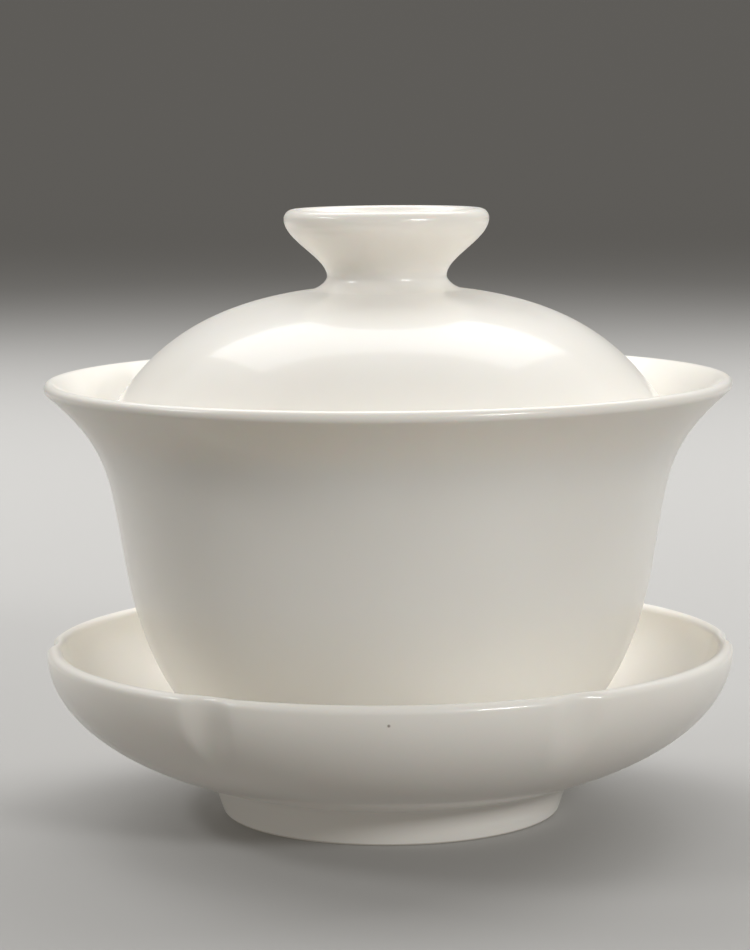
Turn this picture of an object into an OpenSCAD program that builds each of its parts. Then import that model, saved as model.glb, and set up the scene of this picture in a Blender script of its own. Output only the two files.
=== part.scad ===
// Gaiwan: a lidded tea bowl that stands on a saucer, three separate pieces of glazed
// porcelain. Each piece is thrown and turned, so each is one outline turned about the
// vertical axis, and the saucer's wall is then pressed in at six places to make a lobed rim.
// Millimetres, +Z up. The origin is the centre of the saucer's foot, on the table.

/* [Bowl] */
// Diameter over the flared lip
mouth_d = 100; // [86:1:130]
// Height from the foot to the lip
bowl_h = 56; // [44:1:72]
// Diameter of the body at belly_h
belly_d = 76.8; // [62:0.2:94]
// Height above the foot at which belly_d is measured
belly_h = 27.7; // [21:0.1:34]
// Outward lean of the body wall at belly_h, degrees
belly_lean = 9.7; // [0:0.1:16]
// Outward lean of the lip from the vertical, degrees
lip_lean = 48.5; // [35:0.5:60]
// Thickness of the body wall
bowl_wall = 2.4; // [1.8:0.1:3.4]
// Thickness of the rounded lip
lip_t = 1.8; // [1.2:0.1:2.4]
// Diameter of the turned foot ring
bowl_foot_d = 44.6; // [34:0.2:54]
// Height of the foot ring up to the body
bowl_foot_h = 3.4; // [2:0.1:5]
// Width of the foot ring's standing edge
bowl_foot_w = 3; // [2:0.1:5]
// Depth of the recess turned inside the foot ring
bowl_recess = 2.2; // [1:0.1:2.6]

/* [Lid] */
// Depth of the lid's seat below the lip
seat_drop = 7.8; // [4:0.1:9]
// Gap between the lid's edge and the bowl
lid_gap = 0.2; // [0.1:0.05:0.6]
// Height of the dome above its lowest edge
dome_h = 21.6; // [15:0.1:27]
// Slope of the dome at its edge, degrees
edge_slope = 60; // [45:1:70]
// Thickness of the dome, also the width of its rounded edge
lid_wall = 2.6; // [2:0.1:3.4]

/* [Knob] */
// Diameter over the flared top of the knob
knob_d = 29.8; // [24:0.2:38]
// Height of the knob above the top of the dome
knob_h = 11.1; // [9:0.1:14]
// Diameter of the neck
neck_d = 17.4; // [13:0.2:21]
// Radius of the rounded top edge
knob_edge = 1.4; // [1:0.1:2]
// Depth of the dish in the top
dish_depth = 3.5; // [2:0.1:5]

/* [Saucer] */
// Diameter across the lobes of the rim
saucer_d = 100.6; // [84:0.2:126]
// Height from the table to the rim
saucer_h = 25.1; // [20:0.1:32]
// Thickness of the rounded rim
rim_t = 2.2; // [1.6:0.1:3]
// Thickness of the floor
floor_t = 3.5; // [2.6:0.1:4.4]
// Diameter of the foot ring where it stands
saucer_foot_d = 49.8; // [42:0.2:60]
// Outward spread of the foot ring from its base to its top, on the radius
foot_spread = 1.5; // [0:0.1:3]
// Height of the foot ring up to the dish
saucer_foot_h = 5.4; // [4:0.1:7]
// Width of the foot ring at its base
saucer_foot_w = 3; // [2.2:0.1:5]
// Depth of the recess turned inside the foot ring
saucer_recess = 3.8; // [2:0.1:4.4]
// Depth of the well that the bowl's foot stands in
well_depth = 0.8; // [0.4:0.1:1.4]
// Gap round the bowl's foot in the well
well_gap = 0.6; // [0.3:0.1:2]

/* [Lobes] */
// Number of lobes round the rim
lobes = 6; // [4:1:10]
// Depth of each groove at the rim
groove_depth = 1; // [0.4:0.1:1.2]
// Radius of the groove's round section
groove_r = 8; // [5:0.5:12]
// Radius of the arc along which a groove runs down the wall
groove_run = 16.4; // [13:0.2:20]

/* [Hidden] */
$fn = 144;
glaze = "ivory";
// Steps along each long curve and each small rounding
curve_n = 16;
round_n = 6;
// Rounding of the standing edges of the two feet
foot_round = 0.5;
// How far a cutter reaches past the surface it cuts
cut = 5;

// ---- drawing aids: a profile is a list of [radius, height] points

// A point at a distance from p, in a direction measured from the vertical
function aim(p, lean, distance) = p + distance * [sin(lean), cos(lean)];

// A cubic curve from a to d with handles b and c
function curve(a, b, c, d, n = curve_n) = [
    for (i = [0:n])
        let (t = i / n, s = 1 - t)
            s * s * s * a + 3 * s * s * t * b + 3 * s * t * t * c + t * t * t * d
];

// A circular arc round c, angles measured from the radial direction
function arc(c, r, from, to, n = round_n) = [
    for (i = [0:n])
        let (a = from + (to - from) * i / n)
            c + r * [cos(a), sin(a)]
];

// The direction of a profile at point i
function along(p, i) =
    let (d = p[min(i + 1, len(p) - 1)] - p[max(i - 1, 0)])
        d / norm(d);

// The profile moved to its left by a thickness that goes from t0 to t1
function inset(p, t0, t1) = [
    for (i = [0:len(p) - 1])
        let (d = along(p, i), t = t0 + (t1 - t0) * i / (len(p) - 1))
            p[i] + t * [-d.y, d.x]
];

function backward(p) = [for (i = [len(p) - 1:-1:0]) p[i]];

function without_first(p) = [for (i = [1:len(p) - 1]) p[i]];

module turned(profile) {
    rotate_extrude()
        polygon(profile);
}

// ---- saucer

saucer_r = saucer_d / 2;
foot_r = saucer_foot_d / 2;
// Width of the small fillet between the foot ring and the dish
foot_fillet = 0.7;
foot_top = [foot_r + foot_spread, saucer_foot_h - foot_fillet];
// Start of the dish, and its lean from the vertical there
dish_start = [foot_top.x + foot_fillet, saucer_foot_h];
dish_lean = 74.4;
// Share of the dish's width over which its floor runs on before the wall turns up
dish_reach = 0.96;
// Straight part of the wall under the rim
rim_straight = 2.4;
// Centre of the rim's rounding
rim_c = [saucer_r - rim_t / 2, saucer_h - rim_t / 2];
rim_edge = rim_c + [rim_t / 2, 0];
dish_outer = curve(
    dish_start,
    aim(dish_start, dish_lean, dish_reach * (rim_edge.x - dish_start.x) / sin(dish_lean)),
    rim_edge - [0, rim_straight],
    rim_edge
);
dish_inner = inset(dish_outer, floor_t, rim_t);
dish_floor_z = dish_inner[0].y;
well_z = dish_floor_z - well_depth;
recess_r = foot_r - saucer_foot_w;
recess_round = 1;
foot_fillet_curve = curve(
    foot_top,
    foot_top + [0, foot_fillet / 2],
    dish_start - [foot_fillet / 2, 0.1],
    dish_start,
    round_n
);
saucer_profile = concat(
    [[0, saucer_recess]],
    arc([recess_r, saucer_recess] - recess_round * [1, 1], recess_round, 90, 0),
    arc([recess_r + foot_round, foot_round], foot_round, 180, 270),
    arc([foot_r - foot_round, foot_round], foot_round, 270, 350),
    foot_fillet_curve,
    without_first(dish_outer),
    without_first(arc(rim_c, rim_t / 2, 0, 180)),
    without_first(backward(dish_inner)),
    [[0, dish_floor_z]]
);

// A ring section that lies on the wall and presses a groove into it, deepest at the rim.
// It starts part of the way down the wall and ends above the rim.
groove_from = -60;
groove_to = 40;
module groove() {
    translate([saucer_r - groove_depth - groove_run, 0, saucer_h])
        rotate([90, 0, 0])
            rotate_extrude(angle = groove_to - groove_from, start = groove_from)
                translate([groove_run + groove_r, 0])
                    circle(groove_r);
}

module saucer() {
    color(glaze)
        difference() {
            turned(saucer_profile);
            translate([0, 0, well_z])
                cylinder(r = bowl_foot_d / 2 + well_gap, h = well_depth + cut);
            for (k = [0:lobes - 1])
                rotate(k * 360 / lobes)
                    groove();
        }
}

// ---- bowl, drawn with its foot at zero

bowl_foot_r = bowl_foot_d / 2;
lip_c = [mouth_d / 2 - lip_t / 2, bowl_h - lip_t / 2];
lip_edge = lip_c + lip_t / 2 * [cos(lip_lean), -sin(lip_lean)];
belly = [belly_d / 2, belly_h];
body_start = [bowl_foot_r, bowl_foot_h];
// Lean of the body where it leaves the foot ring
body_lean = 88;
// Reach of the four handles that shape the body, as shares of the span that each bends
foot_pull = 0.24;
belly_pull = 0.476;
wall_pull = 0.51;
flare_pull = 0.82;
lower_span = norm(belly - body_start);
upper_span = norm(lip_edge - belly);
flare_reach = flare_pull * (lip_edge.x - belly.x) / sin(lip_lean);
bowl_lower = curve(
    body_start,
    aim(body_start, body_lean, foot_pull * lower_span),
    aim(belly, belly_lean, -belly_pull * lower_span),
    belly
);
bowl_upper = curve(
    belly,
    aim(belly, belly_lean, wall_pull * upper_span),
    aim(lip_edge, lip_lean, -flare_reach),
    lip_edge
);
bowl_outer = concat(bowl_lower, without_first(bowl_upper));
bowl_inner = inset(bowl_outer, bowl_wall, lip_t);
bowl_recess_r = bowl_foot_r - bowl_foot_w;
// Slope of the foot ring's two sides, on the radius
foot_slope = 0.3;
bowl_profile = concat(
    [[0, bowl_recess], [bowl_recess_r - foot_slope, bowl_recess]],
    arc([bowl_recess_r + foot_round, foot_round], foot_round, 180, 270),
    arc([bowl_foot_r - foot_slope - foot_round, foot_round], foot_round, 270, 360),
    bowl_outer,
    without_first(arc(lip_c, lip_t / 2, -lip_lean, 180 - lip_lean)),
    without_first(backward(bowl_inner)),
    [[0, bowl_inner[0].y]]
);

module bowl() {
    color(glaze)
        translate([0, 0, well_z])
            turned(bowl_profile);
}

// ---- lid, drawn in the bowl's own heights

// The place on the bowl's inner wall where the lid's edge seats, and the wall's direction
seat_z = bowl_h - seat_drop;
wall_by_height = [for (p = bowl_inner) [p.y, p.x]];
seat = [lookup(seat_z, wall_by_height), seat_z];
seat_rise = [lookup(seat_z + 1, wall_by_height) - lookup(seat_z - 1, wall_by_height), 2];
seat_inward = [-seat_rise.y, seat_rise.x] / norm(seat_rise);

// The lid's edge is round and stands off the wall by lid_gap
edge_r = lid_wall / 2;
edge_c = seat + (edge_r + lid_gap) * seat_inward;
dome_edge = aim(edge_c, edge_slope, edge_r);
dome_top = [0, edge_c.y - edge_r + dome_h];
// Reach of the dome's two handles, as shares of its radius
edge_pull = 0.307;
crown_pull = 0.62;
dome = curve(
    dome_edge,
    aim(dome_edge, edge_slope - 90, edge_pull * dome_edge.x),
    dome_top + [crown_pull * dome_edge.x, 0],
    dome_top
);
underside = inset(dome, lid_wall, lid_wall);

// The knob flares from its neck, and a small fillet joins the neck to the dome
neck_h = 1.4;
fillet_w = 2.6;
fillet_h = 0.9;
neck_rise = 2.7;
flare_drop = 3.1;
neck = [neck_d / 2, dome_top.y + neck_h];
dome_by_radius = backward(dome);
fillet_end = [neck.x + fillet_w, lookup(neck.x + fillet_w, dome_by_radius)];
fillet = curve(
    fillet_end,
    fillet_end - [fillet_w / 2, -0.1],
    neck - [0, fillet_h],
    neck,
    round_n
);
knob_c = [knob_d / 2 - knob_edge, dome_top.y + knob_h - knob_edge];
knob_side = knob_c + [knob_edge, 0];
flare = curve(neck, neck + [0, neck_rise], knob_side - [0, flare_drop], knob_side);

// The dish in the knob's top leaves the rounded edge at this turn round it
dish_turn = 140;
dish_edge = aim(knob_c, 90 - dish_turn, knob_edge);
dish_z = dome_top.y + knob_h - dish_depth;
dish = curve(
    dish_edge,
    aim(dish_edge, dish_turn + 90, dish_depth),
    [dish_edge.x / 2, dish_z],
    [0, dish_z]
);
lid_profile = concat(
    [dome_top - [0, lid_wall]],
    without_first(backward(underside)),
    without_first(arc(edge_c, edge_r, edge_slope - 270, 90 - edge_slope)),
    [for (p = without_first(dome)) if (p.x > fillet_end.x + fillet_h / 2) p],
    fillet,
    without_first(flare),
    without_first(arc(knob_c, knob_edge, 0, dish_turn)),
    without_first(dish)
);

module lid() {
    color(glaze)
        translate([0, 0, well_z])
            turned(lid_profile);
}

saucer();
bowl();
lid();
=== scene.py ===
import math

import bmesh
import bpy
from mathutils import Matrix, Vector


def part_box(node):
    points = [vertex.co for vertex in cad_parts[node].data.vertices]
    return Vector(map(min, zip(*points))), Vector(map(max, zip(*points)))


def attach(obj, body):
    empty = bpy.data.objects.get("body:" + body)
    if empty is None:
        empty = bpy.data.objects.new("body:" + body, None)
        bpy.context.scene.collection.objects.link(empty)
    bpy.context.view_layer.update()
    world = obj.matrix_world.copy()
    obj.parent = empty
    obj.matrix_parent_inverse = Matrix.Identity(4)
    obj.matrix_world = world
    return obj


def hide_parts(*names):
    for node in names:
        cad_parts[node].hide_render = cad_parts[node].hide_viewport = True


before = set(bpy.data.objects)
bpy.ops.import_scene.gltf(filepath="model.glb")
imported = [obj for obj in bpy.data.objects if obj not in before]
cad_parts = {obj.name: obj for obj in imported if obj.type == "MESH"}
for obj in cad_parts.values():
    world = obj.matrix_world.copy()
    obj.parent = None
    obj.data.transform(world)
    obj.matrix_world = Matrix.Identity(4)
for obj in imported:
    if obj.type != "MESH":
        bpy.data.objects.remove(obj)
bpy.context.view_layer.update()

# ---- Saucer
# The dish that the bowl stands in: thrown porcelain, turned at the foot, with the soft wall
# pressed in at six places so that the rim runs in lobes. A shallow well in the floor holds
# the bowl's foot, and the saucer stands on a turned foot ring that is left unglazed below.

MM = 0.001
saucer_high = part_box("saucer")[1]
saucer_r = saucer_high.y
saucer_h = saucer_high.z
well_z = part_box("bowl")[0].z

FOOT_R = 24.9 * MM
FOOT_TOP_R = 26.4 * MM
FOOT_H = 5.4 * MM
FOOT_INNER_R = 21.9 * MM
FOOT_RECESS = 3.8 * MM
FOOT_ROUND = 0.55 * MM
RIM_T = 2.2 * MM
FLOOR_T = 3.5 * MM
WELL_R = 22.9 * MM
WELL_DEPTH = 0.8 * MM
DISH_LEAN = 74.4
DISH_PULL = 0.96
RIM_PULL = 2.4 * MM
LOBES = 6
GROOVE_DEPTH = 1.0 * MM
GROOVE_R = 8 * MM
GROOVE_TOP_Z = 22 * MM
GROOVE_FOOT_Z = 12 * MM
GROOVED_FROM_R = WELL_R + 8 * MM
INSIDE_GIVE = 0.15
GROOVE_EDGE_SOFTNESS = 1.2


def aim(point, lean, distance):
    """The point at a distance, in a direction measured from the vertical."""
    lean = math.radians(lean)
    return point + distance * Vector((math.sin(lean), math.cos(lean)))


def curve(a, b, c, d, steps=32):
    """An outline's cubic curve from a to d with handles b and c."""
    line = []
    for i in range(steps + 1):
        t = i / steps
        s = 1 - t
        line.append(s**3 * a + 3 * s * s * t * b + 3 * s * t * t * c + t**3 * d)
    return line


def rounding(centre, radius, first, last, steps=10):
    """A circular arc of an outline, its angles measured from the radial direction."""
    turns = [math.radians(first + (last - first) * i / steps) for i in range(steps + 1)]
    return [centre + radius * Vector((math.cos(a), math.sin(a))) for a in turns]


def inset(line, first, last):
    """The outline moved to its left by a thickness that goes from first to last."""
    moved = []
    for i, point in enumerate(line):
        along = line[min(i + 1, len(line) - 1)] - line[max(i - 1, 0)]
        thickness = first + (last - first) * i / (len(line) - 1)
        moved.append(point + thickness * Vector((-along.y, along.x)).normalized())
    return moved


def turn(outline, steps):
    """Turns an outline of (radius, height) points about the vertical axis, as on a wheel."""
    clay = bmesh.new()
    points = [clay.verts.new((max(p.x, 0.0), 0, p.y)) for p in outline]
    edges = [clay.edges.new(pair) for pair in zip(points, points[1:])]
    bmesh.ops.spin(
        clay,
        geom=points + edges,
        cent=(0, 0, 0),
        axis=(0, 0, 1),
        angle=2 * math.pi,
        steps=steps,
        use_merge=True,
    )
    bmesh.ops.remove_doubles(clay, verts=clay.verts, dist=0.002 * MM)
    bmesh.ops.recalc_face_normals(clay, faces=clay.faces)
    return clay


BARE_EDGE = FOOT_ROUND * 0.6
SPOT_CORE = 0.13 * MM
SPOT_EDGE = 0.32 * MM


def glaze(name, seed, iron_spot=None):
    """Satin white porcelain glaze over a translucent body, with the marks of the kiln."""
    made = bpy.data.materials.new(name)
    made.use_nodes = True
    nodes = made.node_tree.nodes
    link = made.node_tree.links.new
    shader = nodes["Principled BSDF"]
    shader.inputs["IOR"].default_value = 1.5
    shader.inputs["Subsurface Weight"].default_value = 0.15
    shader.inputs["Subsurface Radius"].default_value = (1.0, 0.7, 0.45)
    shader.inputs["Subsurface Scale"].default_value = 0.003
    shader.inputs["Coat Weight"].default_value = 0.4
    shader.inputs["Coat Roughness"].default_value = 0.08

    place = nodes.new("ShaderNodeTexCoord")
    shift = nodes.new("ShaderNodeMapping")
    shift.inputs["Location"].default_value = (seed, 0.37 * seed, 0.71 * seed)
    link(place.outputs["Object"], shift.inputs["Vector"])

    def noise(scale, detail):
        texture = nodes.new("ShaderNodeTexNoise")
        texture.inputs["Scale"].default_value = scale
        texture.inputs["Detail"].default_value = detail
        link(shift.outputs["Vector"], texture.inputs["Vector"])
        return texture.outputs["Fac"]

    def spread(value, low, high, to_low, to_high):
        stretch = nodes.new("ShaderNodeMapRange")
        stretch.inputs["From Min"].default_value = low
        stretch.inputs["From Max"].default_value = high
        stretch.inputs["To Min"].default_value = to_low
        stretch.inputs["To Max"].default_value = to_high
        link(value, stretch.inputs["Value"])
        return stretch.outputs["Result"]

    # the body's tone drifts a little where the glaze lies thicker
    tone = nodes.new("ShaderNodeMix")
    tone.data_type = "RGBA"
    tone.inputs["A"].default_value = (0.875, 0.845, 0.785, 1)
    tone.inputs["B"].default_value = (0.90, 0.875, 0.82, 1)
    link(spread(noise(28, 3), 0.35, 0.65, 0, 1), tone.inputs["Factor"])

    # a few iron specks, each a third of a millimetre
    cells = nodes.new("ShaderNodeTexVoronoi")
    cells.inputs["Scale"].default_value = 55
    link(shift.outputs["Vector"], cells.inputs["Vector"])
    pick = nodes.new("ShaderNodeSeparateColor")
    link(cells.outputs["Color"], pick.inputs["Color"])
    rare = nodes.new("ShaderNodeMath")
    rare.operation = "GREATER_THAN"
    rare.inputs[1].default_value = 0.985
    link(pick.outputs["Red"], rare.inputs[0])
    spot = spread(cells.outputs["Distance"], 0.008, 0.016, 1, 0)
    speck = nodes.new("ShaderNodeMath")
    speck.operation = "MULTIPLY"
    link(rare.outputs["Value"], speck.inputs[0])
    link(spot, speck.inputs[1])
    marks = speck.outputs["Value"]
    if iron_spot:
        away = nodes.new("ShaderNodeVectorMath")
        away.operation = "DISTANCE"
        away.inputs[1].default_value = iron_spot
        link(place.outputs["Object"], away.inputs[0])
        both = nodes.new("ShaderNodeMath")
        both.operation = "MAXIMUM"
        link(marks, both.inputs[0])
        link(spread(away.outputs["Value"], SPOT_CORE, SPOT_EDGE, 1, 0), both.inputs[1])
        marks = both.outputs["Value"]
    colour = nodes.new("ShaderNodeMix")
    colour.data_type = "RGBA"
    colour.inputs["B"].default_value = (0.10, 0.055, 0.025, 1)
    link(tone.outputs["Result"], colour.inputs["A"])
    link(marks, colour.inputs["Factor"])
    link(colour.outputs["Result"], shader.inputs["Base Color"])

    # the satin varies, and the surface ripples as fired glaze does
    link(spread(noise(90, 2), 0.3, 0.7, 0.34, 0.42), shader.inputs["Roughness"])
    ripple = nodes.new("ShaderNodeBump")
    ripple.inputs["Strength"].default_value = 0.12
    ripple.inputs["Distance"].default_value = 0.0003
    link(noise(70, 1), ripple.inputs["Height"])
    grain = nodes.new("ShaderNodeBump")
    grain.inputs["Strength"].default_value = 0.10
    grain.inputs["Distance"].default_value = 0.00005
    link(noise(1400, 2), grain.inputs["Height"])
    link(ripple.outputs["Normal"], grain.inputs["Normal"])
    link(grain.outputs["Normal"], shader.inputs["Normal"])
    return made


def biscuit(name):
    """The bare fired clay where a foot ring stands: dry, a little grey, and finely gritty."""
    made = bpy.data.materials.new(name)
    made.use_nodes = True
    nodes = made.node_tree.nodes
    link = made.node_tree.links.new
    shader = nodes["Principled BSDF"]
    shader.inputs["Roughness"].default_value = 0.85
    place = nodes.new("ShaderNodeTexCoord")
    grit = nodes.new("ShaderNodeTexNoise")
    grit.inputs["Scale"].default_value = 2500
    grit.inputs["Detail"].default_value = 3
    link(place.outputs["Object"], grit.inputs["Vector"])
    tone = nodes.new("ShaderNodeMix")
    tone.data_type = "RGBA"
    tone.inputs["A"].default_value = (0.62, 0.58, 0.51, 1)
    tone.inputs["B"].default_value = (0.74, 0.71, 0.64, 1)
    link(grit.outputs["Fac"], tone.inputs["Factor"])
    link(tone.outputs["Result"], shader.inputs["Base Color"])
    rough = nodes.new("ShaderNodeBump")
    rough.inputs["Strength"].default_value = 0.5
    rough.inputs["Distance"].default_value = 0.00004
    link(grit.outputs["Fac"], rough.inputs["Height"])
    link(rough.outputs["Normal"], shader.inputs["Normal"])
    return made


def piece(name, clay, body, coat, bare=None, bare_below=0.0):
    """Makes the fired piece from its clay: glazed all over but for the ring it stands on."""
    mesh = bpy.data.meshes.new(name)
    mesh.materials.append(coat)
    if bare:
        mesh.materials.append(bare)
    for face in clay.faces:
        face.smooth = True
        if bare and face.calc_center_median().z < bare_below:
            face.material_index = 1
    clay.to_mesh(mesh)
    clay.free()
    made = bpy.data.objects.new(name, mesh)
    bpy.context.scene.collection.objects.link(made)
    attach(made, body)
    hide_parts(body)


dish_start = Vector((FOOT_TOP_R + 0.7 * MM, FOOT_H))
rim_c = Vector((saucer_r - RIM_T / 2, saucer_h - RIM_T / 2))
rim_edge = rim_c + Vector((RIM_T / 2, 0))
dish_reach = DISH_PULL * (rim_edge.x - dish_start.x) / math.sin(math.radians(DISH_LEAN))
dish_outer = curve(
    dish_start,
    aim(dish_start, DISH_LEAN, dish_reach),
    rim_edge - Vector((0, RIM_PULL)),
    rim_edge,
    steps=56,
)
dish_inner = inset(dish_outer, FLOOR_T, RIM_T)
well_edge = Vector((WELL_R, well_z + WELL_DEPTH))
saucer_outline = (
    [Vector((0, FOOT_RECESS)), Vector((FOOT_INNER_R - 3 * MM, FOOT_RECESS))]
    + rounding(Vector((FOOT_INNER_R - 1 * MM, FOOT_RECESS - 1 * MM)), 1 * MM, 90, 0)
    + rounding(Vector((FOOT_INNER_R + FOOT_ROUND, FOOT_ROUND)), FOOT_ROUND, 180, 270)
    + rounding(Vector((FOOT_R - FOOT_ROUND, FOOT_ROUND)), FOOT_ROUND, 270, 342)
    + curve(
        Vector((FOOT_TOP_R - 0.3 * MM, FOOT_H - 1.4 * MM)),
        Vector((FOOT_TOP_R, FOOT_H - 0.5 * MM)),
        dish_start - Vector((0.5 * MM, 0.15 * MM)),
        dish_start,
        steps=10,
    )
    + dish_outer[1:]
    + rounding(rim_c, RIM_T / 2, 0, 180, steps=16)[1:]
    + dish_inner[-2::-1]
    + curve(
        well_edge + Vector((0.5 * MM, 0)),
        well_edge,
        well_edge,
        well_edge - Vector((0.15 * MM, 0.4 * MM)),
        steps=6,
    )
    + curve(
        Vector((WELL_R - 0.2 * MM, well_z + 0.3 * MM)),
        Vector((WELL_R - 0.3 * MM, well_z)),
        Vector((WELL_R - 0.3 * MM, well_z)),
        Vector((WELL_R - 0.8 * MM, well_z)),
        steps=6,
    )
    + [Vector((WELL_R - 3 * MM, well_z)), Vector((0, well_z))]
)
saucer_clay = turn(saucer_outline, steps=360)

# a round tool presses the wall in at each groove, deepest and widest at the rim, and the soft
# clay gives little on the inside
saucer_clay.normal_update()
lobe = 2 * math.pi / LOBES
for vert in saucer_clay.verts:
    radius = math.hypot(vert.co.x, vert.co.y)
    fade = (vert.co.z - GROOVE_FOOT_Z) / (GROOVE_TOP_Z - GROOVE_FOOT_Z)
    if radius > GROOVED_FROM_R and fade > 0:
        fade = min(fade, 1.0)
        depth = GROOVE_DEPTH * fade * fade * (3 - 2 * fade)
        half_width = math.sqrt(2 * GROOVE_R * depth)
        turn_from_groove = (math.atan2(vert.co.y, vert.co.x) + lobe / 2) % lobe - lobe / 2
        across = turn_from_groove * radius / half_width
        outward = (vert.normal.x * vert.co.x + vert.normal.y * vert.co.y) / radius
        give = (1 + INSIDE_GIVE) / 2 + (1 - INSIDE_GIVE) / 2 * outward
        press = depth * give * max(0.0, 1 - across * across) ** GROOVE_EDGE_SOFTNESS
        vert.co.x *= 1 - press / radius
        vert.co.y *= 1 - press / radius

IRON_SPOT = (-0.0004, -0.0500, 0.0226)
piece(
    "saucer_porcelain",
    saucer_clay,
    "saucer",
    glaze("glaze_saucer", 3.1, iron_spot=IRON_SPOT),
    biscuit("biscuit_saucer"),
    BARE_EDGE,
)

# ---- Bowl
# The tea bowl: a deep thrown body that leans out a little and flares to a thin round lip,
# with a turned foot ring. It stands loose in the saucer's well and lifts off by its lip.

bowl_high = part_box("bowl")[1]
mouth_r = bowl_high.y + 0.02 * MM
lip_z = bowl_high.z

BELLY = Vector((38.4 * MM, well_z + 27.7 * MM))
BELLY_LEAN = 9.7
LIP_LEAN = 48.5
LIP_T = 1.8 * MM
FOOT_LEAN = 88
FOOT_PULL = 0.24
BELLY_PULL_DOWN = 0.476
BELLY_PULL_UP = 0.51
FLARE_PULL = 0.82
BOWL_WALL = 2.4 * MM
BOWL_FOOT_R = 22.3 * MM
BOWL_FOOT_H = 3.4 * MM
BOWL_FOOT_W = 3.0 * MM
BOWL_RECESS = 2.2 * MM

lip_side = Vector((math.cos(math.radians(LIP_LEAN)), -math.sin(math.radians(LIP_LEAN))))
lip_c = Vector((mouth_r - LIP_T / 2, lip_z - LIP_T / 2))
lip_edge = lip_c + LIP_T / 2 * lip_side
body_start = Vector((BOWL_FOOT_R, well_z + BOWL_FOOT_H))
lower_span = (BELLY - body_start).length
upper_span = (lip_edge - BELLY).length
flare_reach = FLARE_PULL * (lip_edge.x - BELLY.x) / math.sin(math.radians(LIP_LEAN))
bowl_outer = curve(
    body_start,
    aim(body_start, FOOT_LEAN, FOOT_PULL * lower_span),
    aim(BELLY, BELLY_LEAN, -BELLY_PULL_DOWN * lower_span),
    BELLY,
    steps=44,
)
bowl_outer += curve(
    BELLY,
    aim(BELLY, BELLY_LEAN, BELLY_PULL_UP * upper_span),
    aim(lip_edge, LIP_LEAN, -flare_reach),
    lip_edge,
    steps=48,
)[1:]
bowl_inner = inset(bowl_outer, BOWL_WALL, LIP_T)
floor_z = bowl_inner[0].y
foot_in = BOWL_FOOT_R - BOWL_FOOT_W
bowl_outline = (
    [Vector((0, well_z + BOWL_RECESS)), Vector((foot_in - 2 * MM, well_z + BOWL_RECESS))]
    + curve(
        Vector((foot_in - 1.2 * MM, well_z + BOWL_RECESS)),
        Vector((foot_in - 0.4 * MM, well_z + BOWL_RECESS)),
        Vector((foot_in - 0.3 * MM, well_z + BOWL_RECESS - 0.3 * MM)),
        Vector((foot_in - 0.2 * MM, well_z + BOWL_RECESS - 0.8 * MM)),
        steps=6,
    )
    + rounding(Vector((foot_in + FOOT_ROUND, well_z + FOOT_ROUND)), FOOT_ROUND, 180, 270)
    + rounding(
        Vector((BOWL_FOOT_R - 0.3 * MM - FOOT_ROUND, well_z + FOOT_ROUND)), FOOT_ROUND, 270, 355
    )
    + curve(
        Vector((BOWL_FOOT_R - 0.1 * MM, well_z + BOWL_FOOT_H - 1.0 * MM)),
        Vector((BOWL_FOOT_R - 0.05 * MM, well_z + BOWL_FOOT_H - 0.3 * MM)),
        Vector((BOWL_FOOT_R + 0.3 * MM, well_z + BOWL_FOOT_H - 0.02 * MM)),
        bowl_outer[2],
        steps=8,
    )
    + bowl_outer[3:]
    + rounding(lip_c, LIP_T / 2, -LIP_LEAN, 180 - LIP_LEAN, steps=16)[1:]
    + bowl_inner[-2:3:-1]
    + curve(
        bowl_inner[3],
        bowl_inner[0],
        Vector((BOWL_FOOT_R - 5 * MM, floor_z)),
        Vector((BOWL_FOOT_R - 9 * MM, floor_z)),
        steps=10,
    )[1:]
    + [Vector((0, floor_z))]
)
bowl_clay = turn(bowl_outline, steps=288)
piece(
    "bowl_porcelain",
    bowl_clay,
    "bowl",
    glaze("glaze_bowl", 7.7),
    biscuit("biscuit_bowl"),
    well_z + BARE_EDGE,
)

# ---- Lid
# The domed lid sits inside the flared mouth. Its knob is thrown apart, flares like a trumpet
# from a narrow neck to a rounded edge with a dished top, and is luted on before firing.

lid_low, lid_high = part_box("lid")
lid_r = lid_high.y

LID_WALL = 2.6 * MM
EDGE_SLOPE = 60
EDGE_PULL = 0.307
TOP_PULL = 0.62
DOME_H = 21.6 * MM
KNOB_R = 14.9 * MM
KNOB_EDGE = 1.4 * MM
NECK_R = 8.7 * MM
NECK_ABOVE_DOME = 1.4 * MM
FILLET_W = 2.6 * MM
FILLET_H = 0.9 * MM
NECK_RISE = 2.7 * MM
FLARE_DROP = 3.1 * MM
DISH_DEPTH = 3.5 * MM
DISH_TURN = 140

edge_c = Vector((lid_r - LID_WALL / 2, lid_low.z + LID_WALL / 2))
dome_edge = aim(edge_c, EDGE_SLOPE, LID_WALL / 2)
dome_top = Vector((0, lid_low.z + DOME_H))
dome = curve(
    dome_edge,
    aim(dome_edge, EDGE_SLOPE - 90, EDGE_PULL * dome_edge.x),
    dome_top + Vector((TOP_PULL * dome_edge.x, 0)),
    dome_top,
    steps=48,
)
underside = inset(dome, LID_WALL, LID_WALL)
neck = Vector((NECK_R, dome_top.y + NECK_ABOVE_DOME))
fillet_end = min(dome, key=lambda p: abs(p.x - NECK_R - FILLET_W))
knob_c = Vector((KNOB_R - KNOB_EDGE, lid_high.z - KNOB_EDGE))
knob_side = knob_c + Vector((KNOB_EDGE, 0))
dish_edge = aim(knob_c, 90 - DISH_TURN, KNOB_EDGE)
dish_z = lid_high.z - DISH_DEPTH
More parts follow.
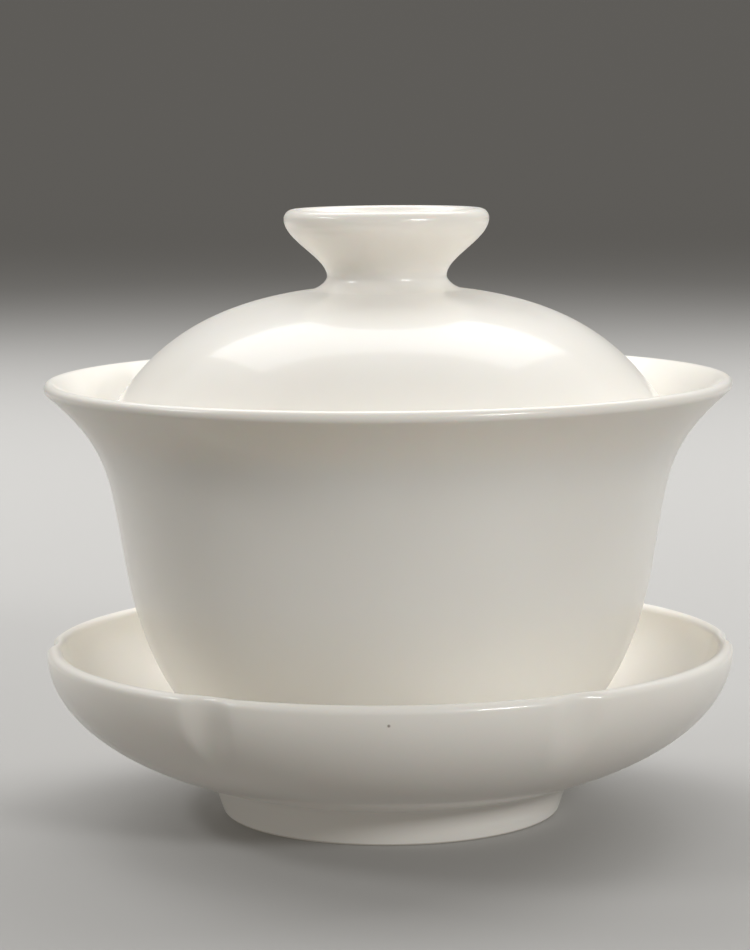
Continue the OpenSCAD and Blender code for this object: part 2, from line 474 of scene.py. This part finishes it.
lid_outline = (
    [dome_top - Vector((0, LID_WALL))]
    + underside[-2:0:-1]
    + rounding(edge_c, LID_WALL / 2, -90 - EDGE_SLOPE, 90 - EDGE_SLOPE, steps=20)
    + [p for p in dome[1:] if p.x > fillet_end.x + 0.3 * MM]
    + curve(
        fillet_end,
        fillet_end - Vector((FILLET_W / 2, -0.1 * MM)),
        neck - Vector((0, FILLET_H)),
        neck,
        steps=12,
    )
    + curve(
        neck,
        neck + Vector((0, NECK_RISE)),
        knob_side - Vector((0, FLARE_DROP)),
        knob_side,
        steps=28,
    )[1:]
    + rounding(knob_c, KNOB_EDGE, 0, DISH_TURN, steps=16)[1:]
    + curve(
        dish_edge,
        aim(dish_edge, DISH_TURN + 90, DISH_DEPTH),
        Vector((dish_edge.x / 2, dish_z)),
        Vector((0, dish_z)),
        steps=20,
    )[1:]
)
lid_clay = turn(lid_outline, steps=264)
piece("lid_porcelain", lid_clay, "lid", glaze("glaze_lid", 12.4))

# ---- Floor, backdrop and light
# A plain pale sweep under three high softboxes behind the set, with a small box to the left
# and another in front for the glints. The sweep returns no light to the undersides.

FLOOR_W = 20.0
FLOOR_FRONT = -10.0
BACK_Y = 2.9
WALL_TOP = 2.6
SWEEP_R = 1.0
sweep = bmesh.new()
sweep_line = [Vector((FLOOR_FRONT, 0)), Vector((BACK_Y - SWEEP_R, 0))]
sweep_line += rounding(Vector((BACK_Y - SWEEP_R, SWEEP_R)), SWEEP_R, -90, 0, steps=24)[1:]
sweep_line += [Vector((BACK_Y, WALL_TOP))]
row = [sweep.verts.new((-FLOOR_W / 2, p.x, p.y)) for p in sweep_line]
edges = [sweep.edges.new(pair) for pair in zip(row, row[1:])]
pulled = bmesh.ops.extrude_edge_only(sweep, edges=edges)
far_row = [v for v in pulled["geom"] if isinstance(v, bmesh.types.BMVert)]
bmesh.ops.translate(sweep, verts=far_row, vec=(FLOOR_W, 0, 0))
for face in sweep.faces:
    face.smooth = True
floor_mesh = bpy.data.meshes.new("floor")
sweep.to_mesh(floor_mesh)
sweep.free()
floor = bpy.data.objects.new("floor", floor_mesh)
bpy.context.scene.collection.objects.link(floor)
paper = bpy.data.materials.new("paper")
paper.use_nodes = True
paper.node_tree.nodes["Principled BSDF"].inputs["Base Color"].default_value = (0.40, 0.395, 0.385, 1)
paper.node_tree.nodes["Principled BSDF"].inputs["Roughness"].default_value = 0.8
floor_mesh.materials.append(paper)
floor.visible_diffuse = False


def softbox(name, place, size, watts, mirrored=True, aim_at=(0, 0, 0.05)):
    lamp = bpy.data.lights.new(name, "AREA")
    lamp.shape = "RECTANGLE"
    lamp.size, lamp.size_y = size
    lamp.energy = watts
    made = bpy.data.objects.new(name, lamp)
    made.visible_glossy = mirrored
    made.location = place
    made.rotation_euler = (Vector(aim_at) - Vector(place)).to_track_quat("-Z", "Y").to_euler()
    bpy.context.scene.collection.objects.link(made)


# the boxes behind at left and right light the saucer's inside and leave no reflections
softbox("back_box", (0.0, 0.45, 0.80), (1.0, 0.5), 4.3)
softbox("back_left_box", (-0.50, 0.52, 0.50), (0.6, 0.5), 4.0, mirrored=False)
softbox("back_right_box", (0.50, 0.52, 0.50), (0.6, 0.5), 4.0, mirrored=False)
softbox("left_box", (-0.70, -0.10, 0.62), (0.33, 0.10), 1.5)
softbox("right_box", (0.50, -0.67, 0.40), (0.24, 0.12), 3.4)

world = bpy.data.worlds.new("room")
world.use_nodes = True
world.node_tree.nodes["Background"].inputs["Color"].default_value = (1, 0.96, 0.9, 1)
world.node_tree.nodes["Background"].inputs["Strength"].default_value = 0.25
bpy.context.scene.world = world

# ---- Camera
# A long lens a little above the knob, looking down at the set, with a slight roll. The plain
# view transform keeps the white of the glaze white.

camera_data = bpy.data.cameras.new("camera")
camera_data.sensor_fit = "HORIZONTAL"
camera_data.sensor_width = 36
camera_data.lens = 143.3
camera_data.clip_start = 0.01
camera = bpy.data.objects.new("camera", camera_data)
camera.location = (-0.0015, -0.4342, 0.1042)
camera.rotation_euler = (math.radians(90 - 7.19), math.radians(0.5), 0)
bpy.context.scene.collection.objects.link(camera)
bpy.context.scene.camera = camera
bpy.context.scene.view_settings.view_transform = "Standard"
